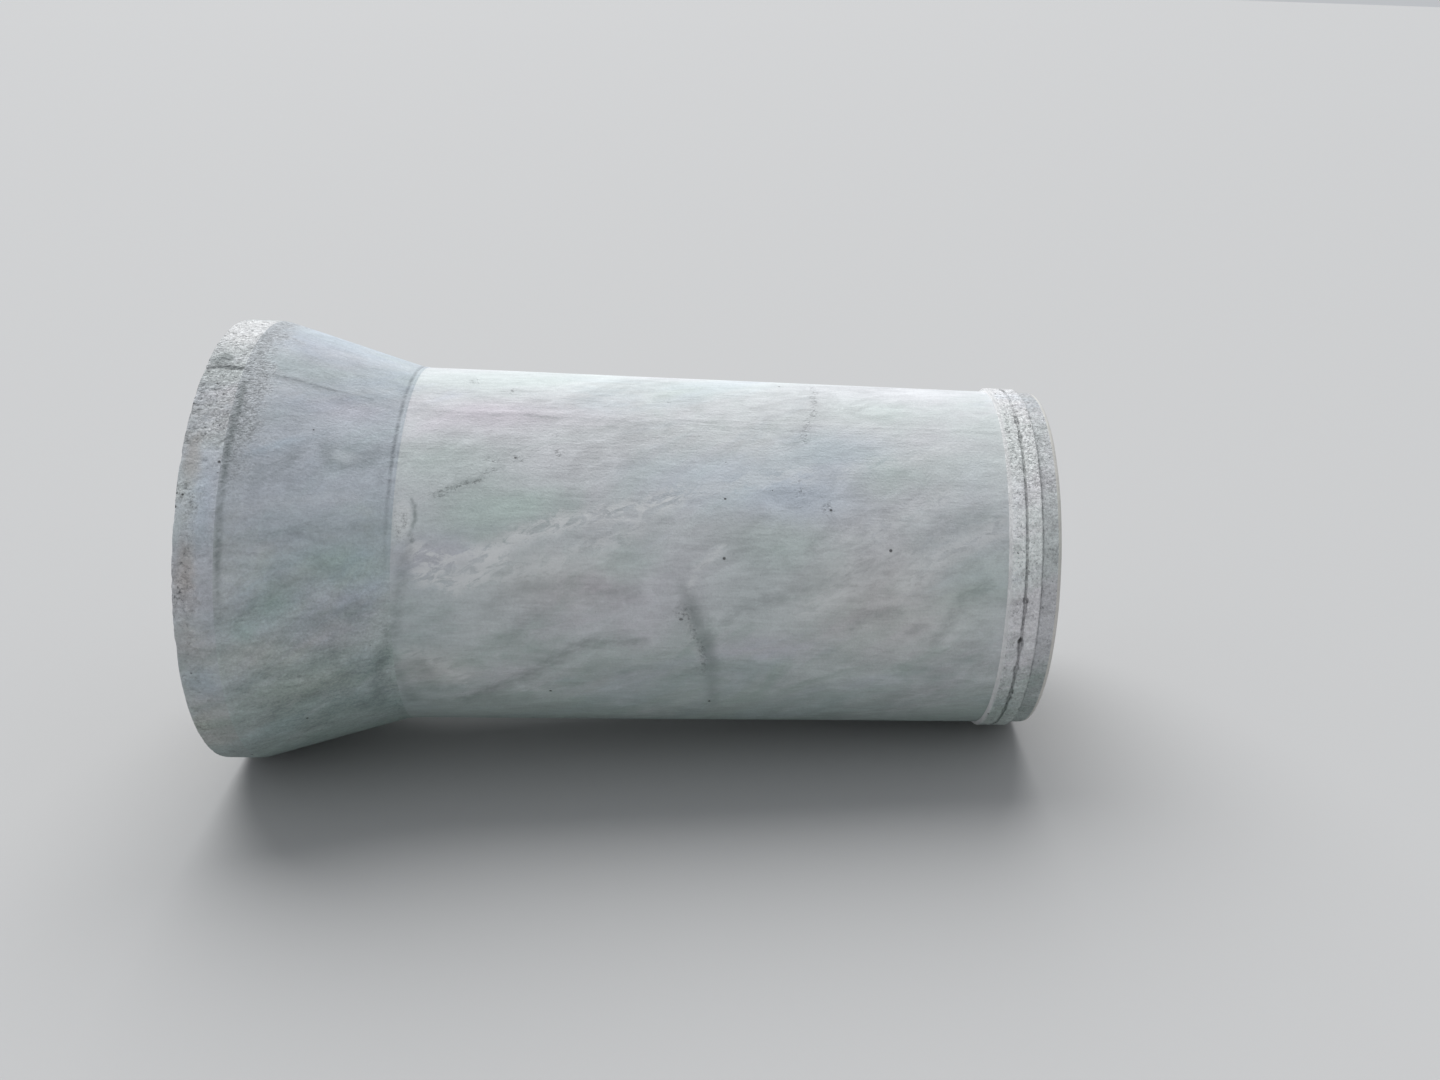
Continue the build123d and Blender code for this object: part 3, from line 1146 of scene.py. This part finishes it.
flare_tints = [
    (flare_back_shade, (0.36, 74), (0.28, 0.26), 1.0),
    (lilac_tint, (0.41, 60), (0.15, 0.05), 0.6),
    (lilac_tint, (0.44, -3), (0.13, 0.11), 1.0),
    (lilac_tint, (0.30, 84), (0.14, 0.08), 0.5),
    (green_tint, (0.45, 14), (0.13, 0.06), 1.0),
    (green_tint, (0.27, 6), (0.07, 0.07), 0.8),
    (green_tint, (0.19, -2), (0.04, 0.04), 0.9),
    (brown_tint, (0.23, -9), (0.12, 0.06), 0.9),
    (brown_tint, (0.34, -22), (0.16, 0.06), 0.5),
]
print("flare:", len(flare_dark_lines), "dark and", len(flare_pale_lines), "pale lines")


# %% The blue-grey flare: its cement, sand and seams
def flare_cement(tree, places):
    """Slate blue above and greener below, with a coarser grain on the underside."""
    from_top = places["From Top"]
    wander = cloud(tree, places["Twisted"], 5.0, 8.0, 0.65, 0.5)
    wander = scaled_and_moved(tree, wander, 110.0, -55.0)
    lower = between(tree, calculate(tree, "ADD", from_top, wander), 58.0, 92.0)
    own_colour = mixed(tree, lower, flare_upper_cement, flare_lower_cement)
    mottle = between(tree, from_top, 62.0, 98.0, 0.065, 0.115)
    grain = between(tree, from_top, 62.0, 98.0, 0.085, 0.150)
    return cement(
        tree, places, own_colour,
        clouds=0.05, wisps=0.085, mottle=mottle, lines=0.045, grain=grain, tints=0.50,
    )


def flare_sand(tree, places, colour, height, high):
    """The sand that spilled from the rim band, in a ragged edge."""
    spill = cloud(tree, places["Place"], 12.0, 7.0, 0.75)
    spill = scaled_and_moved(tree, spill, 0.26, places["Along"])
    spilled_mask = times(tree, between(tree, spill, 0.38, 0.27), high)
    colour = mixed(tree, times(tree, spilled_mask, 0.75), colour, flare_sand_grey)
    return lay_sand(
        tree, places, colour, height, spilled_mask,
        grain_size=0.008, depth=2.4, darkness=0.30,
    )


def flare_seams(tree, places, colour, sheets, high):
    """The dark line behind the rim band with a painted shadow over its upper part, the seam at the barrel and
    the joint of the shells.
    """
    seam_sheet, stain_sheet, torn = sheets
    from_top = places["From Top"]
    not_back = between(tree, from_top, 22.0, 34.0, 0.10, 1.0)
    on_side = times(tree, not_back, between(tree, from_top, 92.0, 72.0, 0.10, 1.0))
    crisp = line_mask(tree, moved_sheet(tree, places, 0.022), *band_foot_crisp)
    crisp = times(tree, crisp, on_side, torn)
    # painted shadow: a soft, ragged dark band on the upper side
    soft = line_mask(tree, stain_sheet, *band_foot_painted_shadow)
    ragged = between(tree, cloud(tree, places["Place"], 24.0, 7.0, 0.75), 0.42, 0.64, 0.0, 0.30)
    soft = times(tree, soft, ragged, not_back, high)
    colour = mixed(tree, times(tree, crisp, 0.50), colour, dark_stain)
    colour = mixed(tree, soft, colour, dark_stain)
    seam_strength = times(tree, between(tree, from_top, 82.0, 42.0, 0.05, 0.48), torn)
    seam = line_mask(tree, seam_sheet, *flare_seam)
    colour = mixed(tree, times(tree, seam, seam_strength), colour, seam_dark)
    return lay_lines(tree, colour, seam_sheet, joint_grey, flare_joint, torn)


# %% The blue-grey flare: its shader
def flare_finish():
    material, tree, places = start_finish("flare_concrete")
    sheets = mark_sheets(tree, places)
    _, stain_sheet, torn = sheets
    colour, height = flare_cement(tree, places)
    colour = lay_tints(tree, colour, stain_sheet, flare_tints)
    colour = grime_and_shade(tree, places, colour, 0.85)
    colour = lay_lines(tree, colour, stain_sheet, pale_bloom, flare_pale_lines, torn)
    colour = lay_lines(tree, colour, stain_sheet, dark_stain, flare_dark_lines, torn)
    colour = lay_blots(tree, colour, stain_sheet, dark_stain, flare_eye_ring)
    colour = lay_blots(tree, colour, stain_sheet, flare_eye_grey, flare_eye, broad_softness)
    high = between(tree, places["From Top"], 65.0, 42.0, 0.15, 1.0)      # 1 on the upper part
    colour, height = flare_sand(tree, places, colour, height, high)
    colour = flare_seams(tree, places, colour, sheets, high)
    colour, height = dark_holes(
        tree, places, colour, height,
        cell=0.026, largest=0.005, flocks=0.30, flock_size=0.22,
    )
    roughness = uneven_roughness(tree, places, 7.0, 0.64, 0.84)
    end_finish(material, colour, roughness, height, bump_depth=0.0011)


flare_finish()

# %% [markdown]
# The rings at both ends are where the mould leaked most. Smooth slate patches of cement alternate with bare
# sand, a painted shadow lies dark in the groove and at the step, and the joint of the steel shells is an open
# crack. The nose beyond the last step was pressed smoother for the rubber ring, so it is a little darker and
# its sand is fainter.

# %% The sandy rings: their marks
slate_rim = (0.52, 0.55, 0.58, 1)
sandy_rim = (0.62, 0.635, 0.645, 1)
collar_grey = (0.90, 0.905, 0.91, 1)
nose_grey = (0.70, 0.715, 0.725, 1)
# painted light on the top of the rim band
rim_top_painted_light = (0.88, 0.88, 0.88, 1)
rust_grey = (0.42, 0.41, 0.40, 1)
groove_painted_shadow = (0.07, 0.075, 0.08, 1)
# pale cement of the bead's lip, brightened further as a painted highlight
bead_bloom_and_highlight = (0.97, 0.97, 0.97, 1)
crack_dark = (0.04, 0.045, 0.05, 1)
# painted shade on the lower side of the collar and nose
spigot_foot_shade = (0.80, 0.81, 0.82, 1)
# painted light on the collar, about thirty degrees up the side
collar_painted_light = (1.22, 1.22, 1.22, 1)
rim_light = (1.16, 1.16, 1.15, 1)
# painted shade on the top of the nose
nose_back_shade = (0.84, 0.84, 0.84, 1)
ring_tints = [
    (spigot_foot_shade, (2.570, -25), (0.300, 0.36), 1.0),
    (collar_painted_light, (2.520, 28), (0.100, 0.16), 1.0),
    (rim_light, (0.070, 30), (0.110, 0.10), 1.0),
    (nose_back_shade, (2.665, 93), (0.045, 0.14), 1.0),
    (blue_tint, (0.080, 28), (0.045, 0.11), 0.7),
    (blue_tint, (0.060, -16), (0.050, 0.05), 0.8),
    (brown_tint, (0.050, -35), (0.120, 0.22), 1.0),
    (brown_tint, (0.050, -5), (0.100, 0.06), 1.0),
    (brown_tint, (0.036, 39), (0.026, 0.060), 1.0),
    (brown_tint, (0.040, 13), (0.026, 0.070), 1.0),
]
# a painted pool of light over the top of the rim band
rim_top_light_blots = [((0.060, 88), (0.090, 0.16), 0.75)]
rim_rust_blots = [((0.036, 39), (0.026, 0.050), 0.30), ((0.040, 14), (0.026, 0.060), 0.30)]
rim_dark_blots = [((0.045, 69), (0.034, 0.034), 0.45)]
groove_hole = [((groove_start, -6), (0.010, 0.013), 0.8)]
rim_joint = [([(0.012, 65.5), (0.060, 66.4), (0.140, 65.8)], 0.013, 0.62)]
# lines of painted shadow in the groove and at the step
ring_shadow_lines = [(groove_start + 0.002, 0.0075, 0.60), (nose_start + 0.001, 0.007, 0.60)]
print("rings:", len(ring_tints), "tints")


# %% The sandy rings: where sand and water lie
def rough_places(tree, places):
    """Where the rim band is bare sand: all of its upper part, and only the rim's side lower down."""
    wander = calculate(tree, "SUBTRACT", cloud(tree, places["Place"], 11.0, 7.0, 0.72), 0.5)
    upper = between(tree, scaled_and_moved(tree, wander, 90.0, places["From Top"]), 56.0, 34.0)
    at_rim = between(tree, scaled_and_moved(tree, wander, 0.22, places["Along"]), 0.085, 0.030)
    slow = between(tree, cloud(tree, places["Place"], 5.0, 3.0), 0.46, 0.62, 0.15, 0.9)
    return calculate(tree, "MAXIMUM", upper, times(tree, at_rim, slow))


def ring_cement(tree, places, rough_rim, at_spigot, at_nose):
    """Slate or sandy grey at the rim, pale at the collar and a little darker at the nose."""
    base = mixed(tree, rough_rim, slate_rim, sandy_rim)
    base = mixed(tree, at_spigot, base, collar_grey)
    base = mixed(tree, at_nose, base, nose_grey)
    return cement(
        tree, places, base,
        clouds=0.09, wisps=0.06, mottle=0.08, lines=0.0, grain=0.10, tints=0.5,
    )


def ring_sandiness(tree, places, rough_rim, at_spigot, at_nose):
    """How bare the sand lies: patchy on the collar, less on its lower side and on the nose."""
    smoothness = scaled_and_moved(tree, at_nose, -0.20, 1.0)
    ring_sand = times(tree, at_spigot, between(tree, places["From Top"], 68.0, 92.0, 1.0, 0.55))
    patchy = between(tree, cloud(tree, places["Place"], 16.0, 4.0, 0.6), 0.40, 0.60, 0.40, 1.0)
    bare = calculate(tree, "MAXIMUM", rough_rim, times(tree, ring_sand, patchy))
    return scaled_and_moved(tree, times(tree, bare, smoothness), 0.82, 0.18)


def ring_lines(tree, places, colour, seam_sheet, torn):
    """Painted shadow in the groove and at the step, and the pale bead, partly a painted highlight, with its
    thin painted shadow.
    """
    fading = times(tree, torn, between(tree, places["From Top"], 0.0, 45.0, 0.55, 1.0))
    for along, width, strength in ring_shadow_lines:
        line = line_mask(tree, seam_sheet, ring_line(along), width)
        colour = mixed(tree, times(tree, line, fading, strength), colour, groove_painted_shadow)
    colour = lay_blots(tree, colour, seam_sheet, hole_dark, groove_hole)
    bead_shadow = [(ring_line(collar_start - 0.011), 0.009, 0.22)]
    colour = lay_lines(tree, colour, seam_sheet, dark_stain, bead_shadow)
    # the bead's bright line: a pale lip of cement with a painted highlight on it
    bead = [(ring_line(collar_start - 0.001), 0.011, 0.95)]
    colour = lay_lines(tree, colour, seam_sheet, bead_bloom_and_highlight, bead)
    return lay_lines(tree, colour, seam_sheet, crack_dark, rim_joint, torn)


# %% The sandy rings: their shader
def sandy_finish():
    material, tree, places = start_finish("sandy_concrete")
    seam_sheet, stain_sheet, torn = mark_sheets(tree, places)
    along = places["Along"]
    at_spigot = between(tree, along, 1.2, 1.3)
    at_nose = between(tree, along, nose_start - 0.002, nose_start + 0.004)
    rough_rim = rough_places(tree, places)
    colour, height = ring_cement(tree, places, rough_rim, at_spigot, at_nose)
    colour = lay_tints(tree, colour, stain_sheet, ring_tints)
    colour = grime_and_shade(tree, places, colour, 0.8)
    colour = lay_blots(tree, colour, stain_sheet, rim_top_painted_light, rim_top_light_blots)
    colour = lay_blots(tree, colour, seam_sheet, rust_grey, rim_rust_blots)
    colour = lay_blots(tree, colour, stain_sheet, dark_stain, rim_dark_blots)
    sandiness = ring_sandiness(tree, places, rough_rim, at_spigot, at_nose)
    grain_size = between(tree, along, 1.2, 1.3, 0.009, 0.007)
    colour, height = lay_sand(
        tree, places, colour, height, sandiness,
        grain_size=grain_size, depth=1.8, darkness=0.85,
    )
    colour = ring_lines(tree, places, colour, seam_sheet, torn)
    colour, height = dark_holes(
        tree, places, colour, height,
        cell=0.018, largest=0.006, flocks=0.60, flock_size=0.12, depth=2.5,
    )
    roughness = between(tree, sandiness, 0.0, 1.0, 0.72, 0.92)
    end_finish(material, colour, roughness, height, bump_depth=0.0016)


sandy_finish()

# %% [markdown]
# The two end faces were struck off with a trowel and are the smoothest concrete of all, cream more than
# grey. Only their outer edge shows the sand. Faint rings stay from the turning of the tool.

# %% The trowelled end faces
trowelled_cement = (0.60, 0.59, 0.555, 1)


def trowelled_finish():
    material, tree, places = start_finish("trowelled_concrete")
    colour, height = cement(
        tree, places, trowelled_cement,
        clouds=0.06, wisps=0.03, mottle=0.03, lines=0.0, grain=0.04, tints=0.3,
    )
    parts = node(tree, "SeparateXYZ", {0: places["Place"]}).outputs
    across = times(tree, parts["Y"], parts["Y"])
    out = calculate(tree, "SQRT", scaled_and_moved(tree, parts["Z"], parts["Z"], across))
    ring_place = {"X": times(tree, out, 160.0), "Y": parts["Y"]}
    rings = cloud(tree, node(tree, "CombineXYZ", ring_place).outputs[0], 1.0, 2.0)
    colour = shaded(tree, colour, between(tree, rings, 0.3, 0.7, 0.96, 1.03))
    ragged = scaled_and_moved(tree, cloud(tree, places["Place"], 14.0, 6.0, 0.7), 0.06, out)
    near_edge = between(tree, ragged, 0.715, 0.745)
    colour, height = lay_sand(tree, places, colour, height, near_edge, grain_size=0.007, depth=1.5)
    colour, height = dark_holes(
        tree, places, colour, height,
        cell=0.030, largest=0.005, flocks=0.40, flock_size=0.20,
    )
    height = scaled_and_moved(tree, rings, 0.6, height)
    roughness = uneven_roughness(tree, places, 9.0, 0.62, 0.80)
    end_finish(material, colour, roughness, height, bump_depth=0.0010)


trowelled_finish()

# %% [markdown]
# Inside, the core of the mould turned against the concrete and left faint rings. Water stands there after
# rain, so the lowest part is greener.

# %% The socket and the bore
bore_cement = (0.45, 0.445, 0.415, 1)
bore_damp_green = (0.70, 0.79, 0.68, 1)


def bore_finish():
    material, tree, places = start_finish("bore_concrete")
    colour, height = cement(
        tree, places, bore_cement,
        clouds=0.07, wisps=0.04, mottle=0.03, lines=0.0, grain=0.04, tints=0.4,
    )
    ring_place = {"X": times(tree, places["Along"], 70.0)}
    rings = cloud(tree, node(tree, "CombineXYZ", ring_place).outputs[0], 1.0, 4.0, 0.6)
    colour = shaded(tree, colour, between(tree, rings, 0.3, 0.7, 0.90, 1.06))
    damp = between(tree, cloud(tree, places["Place"], 2.2, 7.0, 0.62, 0.5), 0.50, 0.64)
    low = between(tree, node(tree, "SeparateXYZ", {0: places["Place"]}).outputs["Z"], 0.0, -0.45)
    colour = mixed(tree, times(tree, damp, low), colour, bore_damp_green, "MULTIPLY")
    colour, height = dark_holes(
        tree, places, colour, height,
        cell=0.034, largest=0.007, flocks=0.50, flock_size=0.30,
    )
    height = scaled_and_moved(tree, rings, 1.2, height)
    roughness = uneven_roughness(tree, places, 7.0, 0.66, 0.84)
    end_finish(material, colour, roughness, height, bump_depth=0.0010)


bore_finish()

# %% Put the finishes on the skin
for finish_name in finish_names:
    pipe_skin.materials.append(bpy.data.materials[finish_name])
print("the skin has", len(pipe_skin.materials), "finishes")

# %% [markdown]
# The stage is plain: a wide pale floor, one broad soft light high above and a little behind the pipe, and an
# even glow from all round. Light from above and behind gives the bright back and the dark underside that a
# round thing has under an overcast sky.

# %% Floor
floor_half_width = 600.0
floor_grey = (0.42, 0.42, 0.42, 1)

floor_mesh = bpy.data.meshes.new("floor")
floor_corners = [(-1, -1, 0), (1, -1, 0), (1, 1, 0), (-1, 1, 0)]
floor_mesh.from_pydata([Vector(corner) * floor_half_width for corner in floor_corners], [], [(0, 1, 2, 3)])
floor = bpy.data.objects.new("floor", floor_mesh)
bpy.context.scene.collection.objects.link(floor)
floor_paint = bpy.data.materials.new("pale_floor")
floor_paint.use_nodes = True
floor_shader = floor_paint.node_tree.nodes["Principled BSDF"]
floor_shader.inputs["Base Color"].default_value = floor_grey
floor_shader.inputs["Roughness"].default_value = 0.9
floor_mesh.materials.append(floor_paint)
print("floor", 2 * floor_half_width, "metres wide")

# %% Light
sky_colour = (0.93, 0.96, 1.0, 1)
sky_glow = 0.55
sun_power = 3.3
sun_width = radians(60)
sun_turn = Euler((radians(-34), radians(-8), 0))

world = bpy.data.worlds.new("studio")
world.use_nodes = True
world.node_tree.nodes["Background"].inputs["Color"].default_value = sky_colour
world.node_tree.nodes["Background"].inputs["Strength"].default_value = sky_glow
bpy.context.scene.world = world
sun = bpy.data.objects.new("overhead_light", bpy.data.lights.new("overhead_light", "SUN"))
sun.data.energy = sun_power
sun.data.angle = sun_width
sun.rotation_euler = sun_turn
bpy.context.scene.collection.objects.link(sun)
bpy.context.scene.view_settings.view_transform = "Standard"
print("light", sun.name, "of strength", round(sun.data.energy, 2), "and sky", sky_glow)

# %% [markdown]
# The camera stands where the photograph was taken from. Its place, direction and lens were worked out from
# the pipe's outline in the photograph, which is 1440 by 1080 pixels. The picture shows only the part of that
# frame around the pipe, so the lens is longer by the same share and the shift says where that part lies.

# %% Camera
photo_width = 1440
photo_height = 1080
photo_focal = 1030                      # the photograph's focal length, in its pixels
shown_width = 1000                      # pixels of the photograph that the picture spans
shown_centre = (570, 588)
camera_place = Vector((0.2454, -4.9839, 2.6028))
camera_turn = radians(8.78)
camera_dip = radians(18.21)
camera_roll = radians(2.04)

camera = bpy.data.objects.new("camera", bpy.data.cameras.new("camera"))
bpy.context.scene.collection.objects.link(camera)
lens = camera.data
lens.lens = lens.sensor_width * photo_focal / shown_width
lens.shift_x = (shown_centre[0] - photo_width / 2) / shown_width
lens.shift_y = (photo_height / 2 - shown_centre[1]) / shown_width
lens.clip_end = 2 * floor_half_width
turn = Matrix.Rotation(-camera_turn, 3, "Z") @ Matrix.Rotation(pi / 2 - camera_dip, 3, "X")
camera.location = camera_place
camera.rotation_euler = (turn @ Matrix.Rotation(camera_roll, 3, "Z")).to_euler()
bpy.context.scene.camera = camera
print("lens", round(lens.lens, 2), "mm, shift", round(lens.shift_x, 3), round(lens.shift_y, 3))
